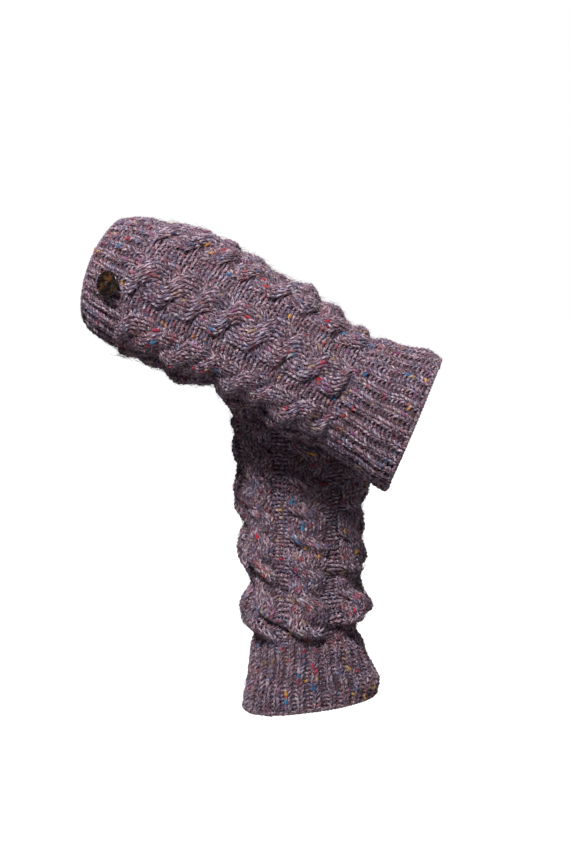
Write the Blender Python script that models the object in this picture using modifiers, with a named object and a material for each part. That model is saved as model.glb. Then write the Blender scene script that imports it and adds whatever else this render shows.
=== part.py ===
"""Pair of cable-knit leg warmers, worn pose, as hollow tubes of thick knitted cloth.

One tube stands upright, the other is lifted and slants across in front of it. Each is a ribbed
top cuff, a leg of seven rope cables between purl ladders, and a ribbed bottom cuff, with a shell
button on the outer side of the top cuff. Metres, +Z up. The origin is the centre of the standing
tube's top cuff, where a calf holds it. -X is the shin side of the standing tube and -Y is its
inner side; the lifted tube slants along X on the -Y side of it.
"""

import math

import bmesh
import bpy
from mathutils import Matrix, Vector

MM = 0.001

# The knitting, in millimetres and stitches
TOP_CUFF = 41.0
LEG = 242.0
BOTTOM_CUFF = 75.0
LENGTH = TOP_CUFF + LEG + BOTTOM_CUFF
SEAM_GAP = 0.3
WALL = 4.0
RIB_WALES = 60
CABLES = 7
CABLE_SPAN = math.radians(37.0)
PURL_SPAN = math.radians(360.0 / CABLES - 37.0)
CROSSING_LENGTH = 32.0
FIRST_GROOVE_STANDING = 18.0
FIRST_GROOVE_LIFTED = 26.7

# Relief of the cables and ribs over the cloth's ground, in millimetres
RIB_RELIEF = 3.0
STRAND_HEIGHT = 5.6
STRAND_RISE = 2.6
STRAND_SWING = 10.2
STRAND_HALF_WIDTH = 12.4
STRAND_SPREAD = 0.2
STRAND_HASTE = 0.45
CABLE_HALF_WIDTH = 22.0
CABLE_COLUMNS = 7
CABLE_EDGE = 1.5
CABLE_FADE = 7.0

# Rings of points along each piece, and how many of its outer points each inner one stands for
RINGS_TOP = 4
RINGS_LEG = 40
RINGS_BOTTOM = 8
INNER_STEP = 2

# The shell buttons, in millimetres
BUTTON_RADIUS = 13.0
BUTTON_THICKNESS = 3.6
BUTTON_DISH = 0.9
BUTTON_HOLE = 1.3
BUTTON_HOLE_OFFSET = 2.4
BUTTON_SEGMENTS = 24
BUTTON_BELOW_RIM = 25.0
BUTTON_CLEAR = 0.5

# Sections of each tube: distance below the rim, reach of the cloth's ground to the shin side, the
# calf side and either flank, how much lower a ring lies at the flanks, and at the shin
SECTION_COLUMNS = ("distance", "shin", "calf", "flank", "dip", "lean")

STANDING_SECTIONS = (
    (0.0, 69.0, 67.0, 57.0, 0.0, -1.0),
    (16.0, 73.0, 70.0, 57.5, 0.0, -0.5),
    (32.0, 76.0, 72.5, 57.0, 0.0, 0.0),
    (55.0, 69.5, 71.0, 56.5, 0.0, 0.0),
    (85.0, 68.0, 72.0, 56.0, 0.0, 0.0),
    (104.0, 64.0, 71.0, 56.0, 2.0, 2.0),
    (124.0, 68.5, 71.5, 57.0, 4.0, 4.0),
    (137.0, 66.0, 66.5, 57.0, 4.0, 4.0),
    (156.0, 57.0, 64.0, 56.0, 4.0, 2.0),
    (168.0, 56.0, 63.5, 56.0, 3.0, 0.0),
    (186.0, 62.5, 66.0, 57.5, 3.0, -2.0),
    (196.0, 61.5, 68.0, 57.5, 3.0, -3.0),
    (212.0, 56.0, 64.5, 56.5, 3.0, -2.0),
    (222.0, 52.0, 60.0, 55.5, 3.0, 0.0),
    (232.0, 49.5, 58.5, 55.0, 3.0, 1.0),
    (246.0, 57.5, 68.0, 58.0, 5.0, 2.0),
    (257.0, 59.5, 73.5, 60.5, 8.0, 3.0),
    (266.0, 57.5, 69.5, 59.5, 9.0, 4.0),
    (273.0, 53.0, 60.0, 55.5, 8.0, 3.0),
    (282.0, 50.1, 59.8, 54.5, 6.0, 2.0),
    (293.0, 53.0, 66.5, 56.5, 3.0, 2.0),
    (313.0, 55.0, 72.0, 59.5, 1.0, 4.0),
    (330.0, 58.0, 79.0, 62.5, 0.0, 6.0),
    (342.0, 61.0, 85.0, 65.0, 0.0, 7.0),
    (358.0, 63.0, 83.0, 65.5, 0.0, 8.0),
)

LIFTED_SECTIONS = (
    (0.0, 58.5, 51.0, 50.0, -8.0, 6.0),
    (12.0, 64.5, 59.5, 55.5, -8.0, 6.0),
    (28.0, 67.5, 66.0, 60.0, -8.0, 5.0),
    (44.0, 68.5, 69.5, 60.5, -7.0, 4.0),
    (68.0, 65.5, 76.5, 60.0, -6.0, 2.0),
    (92.0, 63.5, 78.5, 60.0, -5.0, 1.0),
    (112.0, 66.5, 78.5, 60.0, -5.0, 1.0),
    (128.0, 65.0, 78.0, 59.5, -4.0, 2.0),
    (152.0, 54.0, 75.5, 58.5, -5.0, 3.0),
    (165.0, 61.5, 72.5, 58.0, -3.0, 2.0),
    (179.0, 63.0, 72.0, 58.0, -1.0, 0.0),
    (198.0, 60.0, 76.0, 58.0, 0.0, -1.0),
    (212.0, 56.5, 69.0, 57.5, -2.0, -1.0),
    (229.0, 65.0, 69.5, 58.0, 0.0, 0.0),
    (256.0, 63.5, 64.0, 58.0, 1.0, 0.0),
    (267.0, 63.0, 65.5, 58.0, 1.0, 0.0),
    (281.0, 62.4, 58.2, 57.5, 1.0, 0.0),
    (293.0, 65.0, 64.0, 59.5, 0.0, 0.0),
    (311.0, 66.5, 65.5, 61.5, 0.0, 0.0),
    (328.0, 68.0, 70.0, 64.5, 0.0, 1.0),
    (342.0, 72.5, 74.5, 67.0, 0.0, 3.0),
    (358.0, 74.0, 73.0, 67.5, 1.0, 5.0),
)

# The axis of each tube, from the centre of its top rim, in metres
STANDING_TOP = Vector((0.0, 0.0, 0.5 * TOP_CUFF * MM))
STANDING_DOWN = Vector((0.0, 0.0, -1.0))
STANDING_SHIN = Vector((-1.0, 0.0, 0.0))
LIFTED_TOP = Vector((-0.2042, -0.1074, 0.1451))
LIFTED_SLOPE = math.radians(26.7)
LIFTED_YAW = math.radians(5.0)
LIFTED_DOWN = Vector((
    math.cos(LIFTED_SLOPE) * math.cos(LIFTED_YAW),
    -math.sin(LIFTED_YAW),
    -math.sin(LIFTED_SLOPE) * math.cos(LIFTED_YAW),
))
LIFTED_SHIN = Vector((-math.sin(LIFTED_SLOPE), 0.0, -math.cos(LIFTED_SLOPE)))


def smooth_between(low, high, value):
    """Ease from 0 at low to 1 at high."""
    share = min(1.0, max(0.0, (value - low) / (high - low)))
    return share * share * (3.0 - 2.0 * share)


def spline(before, start, end, after, share):
    """Catmull-Rom curve between two neighbouring section values."""
    rise = 2.0 * start
    slope = (end - before) * share
    bend = (2.0 * before - 5.0 * start + 4.0 * end - after) * share ** 2
    twist = (3.0 * start - before - 3.0 * end + after) * share ** 3
    return 0.5 * (rise + slope + bend + twist)


class Tube:
    """One leg warmer's cloth: where a stitch on it lies in the world."""

    def __init__(self, name, top, down, shin, sections, first_groove, cable_turn, button_turn):
        self.name = name
        self.top = top
        self.down = down
        self.shin = shin
        self.flank = down.cross(shin).normalized()
        if self.flank.y > 0.0:
            self.flank.negate()
        self.sections = sections
        self.first_groove = first_groove
        self.cable_turn = math.radians(cable_turn)
        self.button_turn = math.radians(button_turn)

    def section(self, distance):
        """The section values at a distance below the rim, as a dictionary."""
        rows = self.sections
        last = len(rows) - 1
        index = 0
        while index < last - 1 and rows[index + 1][0] <= distance:
            index += 1
        low, high = rows[index], rows[index + 1]
        share = (distance - low[0]) / (high[0] - low[0])
        before = rows[max(index - 1, 0)]
        after = rows[min(index + 2, last)]
        return {
            name: spline(before[column], low[column], high[column], after[column], share)
            for column, name in enumerate(SECTION_COLUMNS)
        }

    def point(self, distance, turn, height):
        """A point of the cloth: turn is 0 at the -Y flank and grows to the shin side."""
        size = self.section(distance)
        sine, cosine = math.sin(turn), math.cos(turn)
        depth = size["shin"] if sine > 0.0 else size["calf"]
        outward = Vector((sine / depth, cosine / size["flank"])).normalized()
        fore = depth * sine + height * outward.x
        side = size["flank"] * cosine + height * outward.y
        along = distance + size["dip"] * cosine ** 2 + size["lean"] * sine
        return self.top + (self.down * along + self.shin * fore + self.flank * side) * MM

    def frame(self, distance, turn, height):
        """A matrix on the cloth: its Z leaves the cloth and its Y runs up to the rim."""
        step = 2.0
        place = self.point(distance, turn, height)
        up = self.point(distance - step, turn, height) - self.point(distance + step, turn, height)
        round_step = math.radians(2.0)
        across = self.point(distance, turn + round_step, height)
        across = across - self.point(distance, turn - round_step, height)
        outward = across.cross(up).normalized()
        if outward.dot(place - self.point(distance, turn, height - step)) < 0.0:
            outward.negate()
        up.normalize()
        right = up.cross(outward).normalized()
        up = outward.cross(right)
        axes = Matrix((right, up, outward)).transposed()
        return Matrix.Translation(place) @ axes.to_4x4()


def strand_height(across, centre, half_width, crown):
    """Height of one rounded strand of a cable at a place across it."""
    share = (across - centre) / half_width
    if abs(share) >= 1.0:
        return 0.0
    return crown * math.sqrt(1.0 - share * share)


def cable_relief(across, past_groove):
    """Height of a rope cable: two strands that cross every CROSSING_LENGTH, the same way.

    Seen from outside with the rim up, a front strand runs down to the right.
    """
    phase = (past_groove / CROSSING_LENGTH) % 1.0
    hurried = phase - STRAND_HASTE * math.sin(2.0 * math.pi * phase) / (2.0 * math.pi)
    swing = STRAND_SWING * math.cos(math.pi * hurried)
    lift = math.sin(math.pi * phase)
    half_width = STRAND_HALF_WIDTH * (1.0 + STRAND_SPREAD * lift)
    front = strand_height(across, swing, half_width, STRAND_HEIGHT + STRAND_RISE * lift)
    back = strand_height(across, -swing, half_width, STRAND_HEIGHT - STRAND_RISE * lift)
    edge = 1.0 - smooth_between(CABLE_HALF_WIDTH - 2.0, CABLE_HALF_WIDTH + 1.0, abs(across))
    return max(front, back, CABLE_EDGE * edge)


def leg_turns(tube):
    """The turn of each column of the leg's points, and its place across its cable or ladder."""
    columns = []
    for repeat in range(CABLES):
        middle = tube.cable_turn + repeat * (CABLE_SPAN + PURL_SPAN)
        for column in range(CABLE_COLUMNS):
            share = (column + 0.5) / CABLE_COLUMNS - 0.5
            columns.append((middle + share * CABLE_SPAN, share * 2.0 * CABLE_HALF_WIDTH))
        columns.append((middle + 0.5 * (CABLE_SPAN + PURL_SPAN), None))
    return columns


def leg_relief(tube, across, distance):
    """Height of the leg's outer face over its ground."""
    if across is None:
        return 0.0
    along = distance - TOP_CUFF
    fade = smooth_between(0.0, CABLE_FADE, along) * smooth_between(0.0, CABLE_FADE, LEG - along)
    raised = cable_relief(across, along - tube.first_groove)
    return RIB_RELIEF * 0.5 * (1.0 - fade) + raised * fade


def rib_turns(tube):
    """The turn of each column of a cuff's points, with 1 on a knit rib and 0 on a purl one."""
    step = 2.0 * math.pi / RIB_WALES
    return [(tube.cable_turn + column * step, column % 2) for column in range(RIB_WALES)]


def rib_relief(tube, knit, distance):
    """Height of a cuff's outer face over its ground."""
    return RIB_RELIEF * knit


def link_rings(mesh, rings):
    """Faces between each ring of points and the next."""
    for upper, lower in zip(rings, rings[1:]):
        count = len(upper)
        for column in range(count):
            after = (column + 1) % count
            mesh.faces.new((upper[column], upper[after], lower[after], lower[column]))


def link_rim(mesh, outer, inner):
    """Faces of a rim, where each inner point faces INNER_STEP outer ones."""
    count = len(inner)
    for column in range(count):
        after = (column + 1) % count
        first = column * INNER_STEP
        near, middle, far = (outer[(first + step) % len(outer)] for step in range(INNER_STEP + 1))
        mesh.faces.new((near, middle, inner[column]))
        mesh.faces.new((inner[column], middle, inner[after]))
        mesh.faces.new((middle, far, inner[after]))


def knitted_piece(tube, name, start, end, rings, columns, relief, material, collection):
    """A closed wall of cloth: outer points with relief, a plain inside, and two rims."""
    mesh = bmesh.new()
    span = end - start
    outer = []
    inner = []
    for ring in range(rings + 1):
        distance = start + span * ring / rings
        row = [
            mesh.verts.new(tube.point(distance, turn, relief(tube, kind, distance)))
            for turn, kind in columns
        ]
        outer.append(row)
        if ring % INNER_STEP == 0:
            inner.append([
                mesh.verts.new(tube.point(distance, turn, -WALL))
                for turn, _ in columns[::INNER_STEP]
            ])
    link_rings(mesh, outer)
    link_rings(mesh, inner)
    link_rim(mesh, outer[0], inner[0])
    link_rim(mesh, outer[-1], inner[-1])
    bmesh.ops.recalc_face_normals(mesh, faces=mesh.faces)
    return finish_mesh(mesh, name, material, collection)


def finish_mesh(mesh, name, material, collection):
    """Make an object of a bmesh and put it in the collection."""
    data = bpy.data.meshes.new(name)
    mesh.to_mesh(data)
    mesh.free()
    data.materials.append(material)
    data.shade_smooth()
    piece = bpy.data.objects.new(name, data)
    collection.objects.link(piece)
    return piece


def shell_button(tube, name, material, collection, cutters):
    """A dished shell button with two sewing holes, on the outer side of the top cuff."""
    radius = BUTTON_RADIUS * MM
    top = BUTTON_THICKNESS * MM
    dish = BUTTON_DISH * MM
    profile = (
        (0.0, top - dish),
        (0.45 * radius, top - dish),
        (0.66 * radius, top - 0.2 * dish),
        (0.84 * radius, top),
        (0.97 * radius, top - 0.35 * dish),
        (radius, 0.55 * top),
        (0.96 * radius, 0.15 * top),
        (0.86 * radius, 0.0),
        (0.0, 0.0),
    )
    data = bpy.data.meshes.new(name)
    points = [(across, 0.0, height) for across, height in profile]
    edges = [(index, index + 1) for index in range(len(profile) - 1)]
    data.from_pydata(points, edges, [])
    data.materials.append(material)
    button = bpy.data.objects.new(name, data)
    collection.objects.link(button)
    turned = button.modifiers.new("turned", "SCREW")
    turned.steps = BUTTON_SEGMENTS
    turned.render_steps = BUTTON_SEGMENTS
    turned.use_merge_vertices = True
    turned.merge_threshold = 0.00005
    place = tube.frame(BUTTON_BELOW_RIM, tube.button_turn, RIB_RELIEF + BUTTON_CLEAR)
    button.matrix_world = place
    for side in (-1.0, 1.0):
        hole_name = "%s_hole_%s" % (name, "left" if side < 0.0 else "right")
        hole = bmesh.new()
        bmesh.ops.create_cone(
            hole, cap_ends=True, segments=10, radius1=BUTTON_HOLE * MM,
            radius2=BUTTON_HOLE * MM, depth=4.0 * top,
        )
        cutter = finish_mesh(hole, hole_name, material, cutters)
        cutter.matrix_world = place @ Matrix.Translation((side * BUTTON_HOLE_OFFSET * MM, 0.0, 0.0))
        cutter.hide_render = True
        cutter.display_type = "WIRE"
        cut = button.modifiers.new("hole", "BOOLEAN")
        cut.operation = "DIFFERENCE"
        cut.object = cutter
    return button


def plain_material(name, colour, roughness):
    """A material with one colour and roughness."""
    material = bpy.data.materials.new(name)
    material.use_nodes = True
    shader = material.node_tree.nodes["Principled BSDF"]
    shader.inputs["Base Color"].default_value = (*colour, 1.0)
    shader.inputs["Roughness"].default_value = roughness
    shader.inputs["Metallic"].default_value = 0.0
    material.diffuse_color = (*colour, 1.0)
    return material


def build_tube(tube, collection, cutters):
    """The three knitted pieces of a tube, and its button."""
    cuff_yarn = plain_material(tube.name + "_cuff_yarn", (0.150, 0.105, 0.130), 0.95)
    leg_yarn = plain_material(tube.name + "_leg_yarn", (0.165, 0.117, 0.147), 0.95)
    shell = plain_material(tube.name + "_shell", (0.030, 0.014, 0.010), 0.35)
    half = 0.5 * SEAM_GAP
    leg_end = TOP_CUFF + LEG
    knitted_piece(
        tube, tube.name + "_top_cuff", 0.0, TOP_CUFF - half, RINGS_TOP,
        rib_turns(tube), rib_relief, cuff_yarn, collection,
    )
    knitted_piece(
        tube, tube.name + "_leg", TOP_CUFF + half, leg_end - half, RINGS_LEG,
        leg_turns(tube), leg_relief, leg_yarn, collection,
    )
    knitted_piece(
        tube, tube.name + "_bottom_cuff", leg_end + half, LENGTH, RINGS_BOTTOM,
        rib_turns(tube), rib_relief, cuff_yarn, collection,
    )
    shell_button(tube, tube.name + "_button", shell, collection, cutters)


def main():
    for old in list(bpy.data.objects):
        bpy.data.objects.remove(old, do_unlink=True)
    collection = bpy.data.collections.new("Leg warmers")
    cutters = bpy.data.collections.new("Cutters")
    bpy.context.scene.collection.children.link(collection)
    bpy.context.scene.collection.children.link(cutters)
    standing = Tube(
        "standing", STANDING_TOP, STANDING_DOWN, STANDING_SHIN,
        STANDING_SECTIONS, FIRST_GROOVE_STANDING, cable_turn=-5.4, button_turn=180.0 - 7.0,
    )
    lifted = Tube(
        "lifted", LIFTED_TOP, LIFTED_DOWN, LIFTED_SHIN,
        LIFTED_SECTIONS, FIRST_GROOVE_LIFTED, cable_turn=-11.8, button_turn=7.0,
    )
    for tube in (standing, lifted):
        build_tube(tube, collection, cutters)


main()
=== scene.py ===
"""A pair of cable-knit leg warmers in tweed yarn, kept as worn.

Every course of the knitting is one round of yarn, looped stitch by stitch over the form of its
CAD tube: 1 x 1 ribs in the cuffs, and seven rope cables between purl ladders in the leg. A thin
ground cloth runs through the middle of the loops, dark as painted shade in the gaps between them,
a halo of loose fibres lies over them, and a shell button is sewn on each top cuff. Sizes are in
millimetres and turned to metres by MM.
"""

import math

import bmesh
import bpy
import numpy as np
from mathutils import Matrix, Vector


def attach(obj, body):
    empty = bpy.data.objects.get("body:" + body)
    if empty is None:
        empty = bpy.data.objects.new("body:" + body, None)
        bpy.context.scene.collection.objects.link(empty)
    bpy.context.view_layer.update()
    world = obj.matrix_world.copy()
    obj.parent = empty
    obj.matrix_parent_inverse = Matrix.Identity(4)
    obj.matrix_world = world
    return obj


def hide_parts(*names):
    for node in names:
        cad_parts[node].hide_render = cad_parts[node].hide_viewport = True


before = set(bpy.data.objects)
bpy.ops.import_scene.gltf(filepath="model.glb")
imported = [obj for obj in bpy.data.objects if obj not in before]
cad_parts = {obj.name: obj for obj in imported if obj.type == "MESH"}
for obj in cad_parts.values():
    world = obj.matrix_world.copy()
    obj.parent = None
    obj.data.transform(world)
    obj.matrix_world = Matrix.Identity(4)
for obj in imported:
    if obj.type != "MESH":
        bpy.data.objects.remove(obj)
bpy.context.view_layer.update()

MM = 0.001

# The knitting, as in the solids but for how far a cable's strands rise, dip and hurry
TOP_CUFF = 41.0
LEG = 242.0
BOTTOM_CUFF = 75.0
LENGTH = TOP_CUFF + LEG + BOTTOM_CUFF
RIB_WALES = 60
CABLES = 7
STRAND_STITCHES = 3
CABLE_STITCHES = 2 * STRAND_STITCHES
PURL_STITCHES = 2
REPEAT = CABLE_STITCHES + PURL_STITCHES
LEG_WALES = CABLES * REPEAT
CABLE_SPAN = math.radians(37.0)
REPEAT_SPAN = 2.0 * math.pi / CABLES
CABLE_HALF_WIDTH = 22.0
CROSSING_LENGTH = 32.0
FIRST_GROOVE_STANDING = 18.0
FIRST_GROOVE_LIFTED = 26.7
STRAND_HEIGHT = 5.6
STRAND_RISE = 2.8
STRAND_DIP = 5.0
STRAND_SWING = 10.2
STRAND_HALF_WIDTH = 12.4
STRAND_SPREAD = 0.2
STRAND_HASTE = 0.75
RISE_UNEVEN = 0.28
RIB_RELIEF = 3.0

# Courses of each piece, and the shape of one loop of yarn
COURSES_TOP = 10
COURSES_LEG = 56
COURSES_BOTTOM = 16
LOOP_POINTS = 8
YARN_RADIUS = 1.55
YARN_SIDES = 5
YARN_UNEVEN = 0.03
KNIT_REACH = 0.86
PURL_REACH = 0.5
KNIT_WAIST = 0.26
PURL_WAIST = 0.14
LOOP_DEPTH = 1.45
LOOP_ROUNDING = 11.7
RIB_SINK = 1.6
LOOP_UNEVEN = 0.09
STITCH_STRAY = 0.3
TURN_STRAY = 0.25
# How far the rounds stray along, around and outwards, and the waves: length, turns, weight
WANDER_REACH = (0.9, 1.1, 0.7)
WANDER_WAVES = ((17.0, 2.0, 1.0), (9.0, -3.0, 1.0), (31.0, 5.0, 0.8), (6.0, 8.0, 0.6))
KNIT_SHARE = 0.57
BLEND = 10.0
LOOP_SPREAD = 0.32

# Sections: distance below the rim, reach to the shin, the calf and either flank, dip, lean
STANDING_SECTIONS = (
    (0.0, 69.0, 67.0, 57.0, 0.0, -1.0),
    (16.0, 73.0, 70.0, 57.5, 0.0, -0.5),
    (32.0, 76.0, 72.5, 57.0, 0.0, 0.0),
    (55.0, 69.5, 71.0, 56.5, 0.0, 0.0),
    (85.0, 68.0, 72.0, 56.0, 0.0, 0.0),
    (104.0, 64.0, 71.0, 56.0, 2.0, 2.0),
    (124.0, 68.5, 71.5, 57.0, 4.0, 4.0),
    (137.0, 66.0, 66.5, 57.0, 4.0, 4.0),
    (156.0, 60.0, 64.5, 56.0, 4.0, 2.0),
    (168.0, 58.5, 64.5, 56.0, 3.0, 0.0),
    (186.0, 64.5, 66.0, 57.5, 3.0, -2.0),
    (196.0, 64.0, 68.0, 57.5, 3.0, -3.0),
    (212.0, 56.0, 64.5, 56.5, 3.0, -2.0),
    (222.0, 52.0, 60.0, 55.5, 3.0, 0.0),
    (232.0, 50.5, 61.5, 55.0, 3.0, 1.0),
    (246.0, 60.0, 71.5, 58.0, 5.0, 2.0),
    (257.0, 62.0, 74.0, 60.5, 8.0, 3.0),
    (266.0, 59.5, 70.5, 59.5, 9.0, 4.0),
    (273.0, 53.0, 62.0, 55.5, 8.0, 3.0),
    (282.0, 50.1, 59.8, 54.5, 6.0, 2.0),
    (293.0, 53.0, 66.5, 56.5, 3.0, 2.0),
    (313.0, 55.0, 72.0, 59.5, 1.0, 4.0),
    (330.0, 58.0, 79.0, 62.5, 0.0, 6.0),
    (342.0, 61.0, 85.0, 65.0, 0.0, 7.0),
    (358.0, 63.0, 83.0, 65.5, 0.0, 8.0),
)
LIFTED_SECTIONS = (
    (0.0, 58.5, 51.0, 50.0, -8.0, 6.0),
    (12.0, 64.5, 59.5, 55.5, -8.0, 6.0),
    (28.0, 67.5, 66.0, 60.0, -8.0, 5.0),
    (44.0, 68.5, 69.5, 60.5, -7.0, 4.0),
    (68.0, 65.5, 76.5, 60.0, -6.0, 2.0),
    (92.0, 63.5, 78.5, 60.0, -5.0, 1.0),
    (112.0, 66.5, 78.5, 60.0, -5.0, 1.0),
    (128.0, 65.0, 78.0, 59.5, -4.0, 2.0),
    (152.0, 54.0, 75.5, 58.5, -5.0, 3.0),
    (165.0, 61.5, 72.5, 58.0, -3.0, 2.0),
    (179.0, 63.0, 72.0, 58.0, -1.0, 0.0),
    (198.0, 60.0, 76.0, 58.0, 0.0, -1.0),
    (212.0, 56.5, 69.0, 57.5, -2.0, -1.0),
    (229.0, 65.0, 69.5, 58.0, 0.0, 0.0),
    (256.0, 63.5, 60.0, 58.0, 1.0, 0.0),
    (267.0, 63.0, 61.0, 58.0, 1.0, 0.0),
    (281.0, 62.4, 58.2, 57.5, 1.0, 0.0),
    (293.0, 65.0, 64.0, 59.5, 0.0, 0.0),
    (311.0, 66.5, 65.5, 61.5, 0.0, 0.0),
    (328.0, 68.0, 70.0, 64.5, 0.0, 1.0),
    (342.0, 72.5, 74.5, 67.0, 0.0, 3.0),
    (358.0, 74.0, 73.0, 67.5, 1.0, 5.0),
)

# Soft creases: from distance and turn, to distance and turn, half width, depth
STANDING_CREASES = (
    (130.0, 82.0, 137.0, 38.0, 4.5, 6.5),
    (200.0, 84.0, 222.0, 38.0, 5.0, 6.5),
    (222.0, 38.0, 230.0, 6.0, 4.5, 5.0),
    (178.0, 0.0, 191.0, -32.0, 5.0, 4.5),
    (250.0, 52.0, 270.0, -3.0, 4.0, 12.0),
    (270.0, -3.0, 279.0, -26.0, 4.5, 7.0),
    (254.0, 6.0, 263.0, -30.0, 4.5, 7.5),
    (264.0, -26.0, 272.0, -74.0, 4.0, 11.0),
    (206.0, -24.0, 217.0, -75.0, 5.0, 5.5),
    (112.0, 30.0, 124.0, -10.0, 6.0, 2.5),
    (150.0, 200.0, 158.0, 130.0, 5.5, 5.5),
    (236.0, 185.0, 262.0, 130.0, 5.5, 7.0),
    (258.0, -170.0, 270.0, -120.0, 5.0, 6.5),
    (186.0, 150.0, 199.0, 108.0, 5.0, 4.0),
)
LIFTED_CREASES = (
    (150.0, 95.0, 156.0, 55.0, 5.0, 5.5),
    (210.0, -92.0, 226.0, -46.0, 5.0, 6.0),
    (118.0, -86.0, 134.0, -48.0, 5.5, 4.0),
    (168.0, 190.0, 176.0, 130.0, 5.5, 5.5),
    (228.0, 110.0, 236.0, 160.0, 5.5, 5.0),
    (264.0, 70.0, 272.0, 20.0, 6.0, 3.0),
)

# The axis of each tube, from the centre of its top rim
STANDING_TOP = Vector((0.0, 0.0, 0.5 * TOP_CUFF * MM))
STANDING_DOWN = Vector((0.0, 0.0, -1.0))
STANDING_SHIN = Vector((-1.0, 0.0, 0.0))
LIFTED_TOP = Vector((-0.2042, -0.1074, 0.1451))
LIFTED_SLOPE = math.radians(26.7)
LIFTED_YAW = math.radians(5.0)
LIFTED_DOWN = Vector((
    math.cos(LIFTED_SLOPE) * math.cos(LIFTED_YAW),
    -math.sin(LIFTED_YAW),
    -math.sin(LIFTED_SLOPE) * math.cos(LIFTED_YAW),
))
LIFTED_SHIN = Vector((-math.sin(LIFTED_SLOPE), 0.0, -math.cos(LIFTED_SLOPE)))

# The loose fibres of the halo: count, points, least and greatest length, lift
LONG_HAIRS = (8500, 3, (4.0, 11.0), 1.1)
SHORT_HAIRS = (15000, 2, (1.8, 5.0), 0.9)
HAIR_WIDTH = 0.21
HAIR_ROOT = 0.6
HAIR_LEAST_LIFT = 0.3
HAIR_CURL = 0.5
HAIR_ARCH = 0.6
HAIR_DROOP = 0.35
HAIR_OVERRUN = 2.0
HAIR_START_OVERRUN = 1.0

# The ground cloth, a thin dark sheet whose colour is painted shade in the gaps between the loops
GROUND_COLUMNS = 90
GROUND_RINGS = 64
GROUND_INSET = 1.0
GROUND_DEPTH = 1.1
GROUND_THICKNESS = 1.0
CREASE_GIRTH = 62.0
CREASE_END = 0.35
CREASE_ENDS_AT = (0.06, 0.94)
ROLL_SHARE = 0.3
ROLL_ABOVE = 2.1
ROLL_WIDTH = 1.5
EDGE_SWAY = 1.0
EDGE_OUT = 0.6
EDGE_SHARE = 0.25

# The shell buttons: wider, further off the cuff and with a shallower dish than in the solids
BUTTON_RADIUS = 13.5
BUTTON_THICKNESS = 3.6
BUTTON_DISH = 0.5
BUTTON_RIM = 2.6
BUTTON_BULGE = (0.15, 0.2)
FACE_STEPS = 8
CREST_STEPS = 10
BUTTON_HOLE = 1.3
BUTTON_HOLE_OFFSET = 2.4
BUTTON_BELOW_RIM = 25.0
BUTTON_CLEAR = 1.6
BUTTON_TILT = 16.0
BUTTON_SEGMENTS = 64
BUTTON_PRESS_GAP = 0.7
BUTTON_PRESS_EDGE = 1.0
BUTTON_PRESS_SLOPE = 0.8
THREAD_RADIUS = 0.35
THREAD_STRANDS = 3
THREAD_POINTS = 13
THREAD_SPACING = 0.55
THREAD_TURNS_IN = 0.3
THREAD_DROP = 15.6
THREAD_COLOUR = (0.045, 0.03, 0.035)

# Wool and shell colours, as linear light
WOOL_STOPS = (
    (0.20, (0.013, 0.004, 0.008)),
    (0.38, (0.068, 0.028, 0.046)),
    (0.54, (0.198, 0.128, 0.172)),
    (0.70, (0.372, 0.288, 0.352)),
    (0.95, (0.630, 0.560, 0.620)),
)
BLOTCH_STOPS = ((0.36, (0.68, 0.78, 0.94)), (0.5, (1.0, 0.97, 0.98)), (0.64, (0.98, 0.81, 0.76)))
HUE_STOPS = (
    (0.34, (0.22, 0.42, 0.74)),
    (0.45, (0.50, 0.46, 0.50)),
    (0.55, (0.54, 0.48, 0.44)),
    (0.66, (0.80, 0.28, 0.32)),
)
ROUND_SHIFT = 7.31
BAKE_MARGIN = 0.04
HEATHER_SCALE = 55.0
BLOTCH_SHARE = 0.62
HUE_SHARE = 0.35
FIBRE_SCALE = 180.0
PLY_TWIST = 13.0
PLY_CONTRAST = 0.13
MARL_RUN = 2.8
MARL_SCALE = 1.7
MARL_CONTRAST = 2.5
FIBRE_CONTRAST = 1.7
FIBRE_RUN = 6.0
FIBRE_ROUND = 1.3
FIBRE_GRAIN = 1.6
TONE_RUN = 0.8
LOOP_TONE = 0.30
PLY_BUMP = 1.1
PLY_RELIEF = 0.6
FIBRE_RELIEF = 0.9
NEP_SHADE = 0.45
NEP_FIBRE = 1.6
NEP_MARL = 0.8
GROUND_GRAIN = 900.0
# How far the ground cloth's wool colour is darkened, as painted shade between the loops
GROUND_PAINTED_SHADE = 0.30
HALO_GRAIN = 160.0
THREAD_GRAIN = 2500.0
WOOL_SHEEN = 0.25
WOOL_BLOOM = (0.85, 0.74, 0.80)
VIVID_FLECKS = (
    (0.44, 0.012, 0.03), (0.46, 0.03, 0.05), (0.36, 0.01, 0.04), (0.40, 0.02, 0.02),
    (0.01, 0.15, 0.36), (0.02, 0.20, 0.40), (0.02, 0.13, 0.30), (0.60, 0.29, 0.05),
    (0.56, 0.36, 0.11), (0.58, 0.24, 0.05), (0.42, 0.02, 0.05),
)
SOFT_FLECKS = (
    (0.34, 0.03, 0.05), (0.22, 0.015, 0.03), (0.30, 0.05, 0.06), (0.05, 0.15, 0.30),
    (0.03, 0.07, 0.20), (0.46, 0.30, 0.14), (0.30, 0.05, 0.20), (0.56, 0.53, 0.54),
)
NEP_STOPS = ((0.35, (0.45, 0.45, 0.45)), (0.6, (1.0, 1.0, 1.0)))
VIVID_SHARE = 0.005
VIVID_STRENGTH = 0.9
SOFT_SHARE = 0.03
SOFT_STRENGTH = 0.5
FLECK_SWELL = 0.3
BIG_NEP_SHARE = 0.3
BIG_NEP = (0.7, 1.0, 1.0, 0.9, 0.6)
SMALL_NEP = (0.7, 1.0, 0.7)
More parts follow.
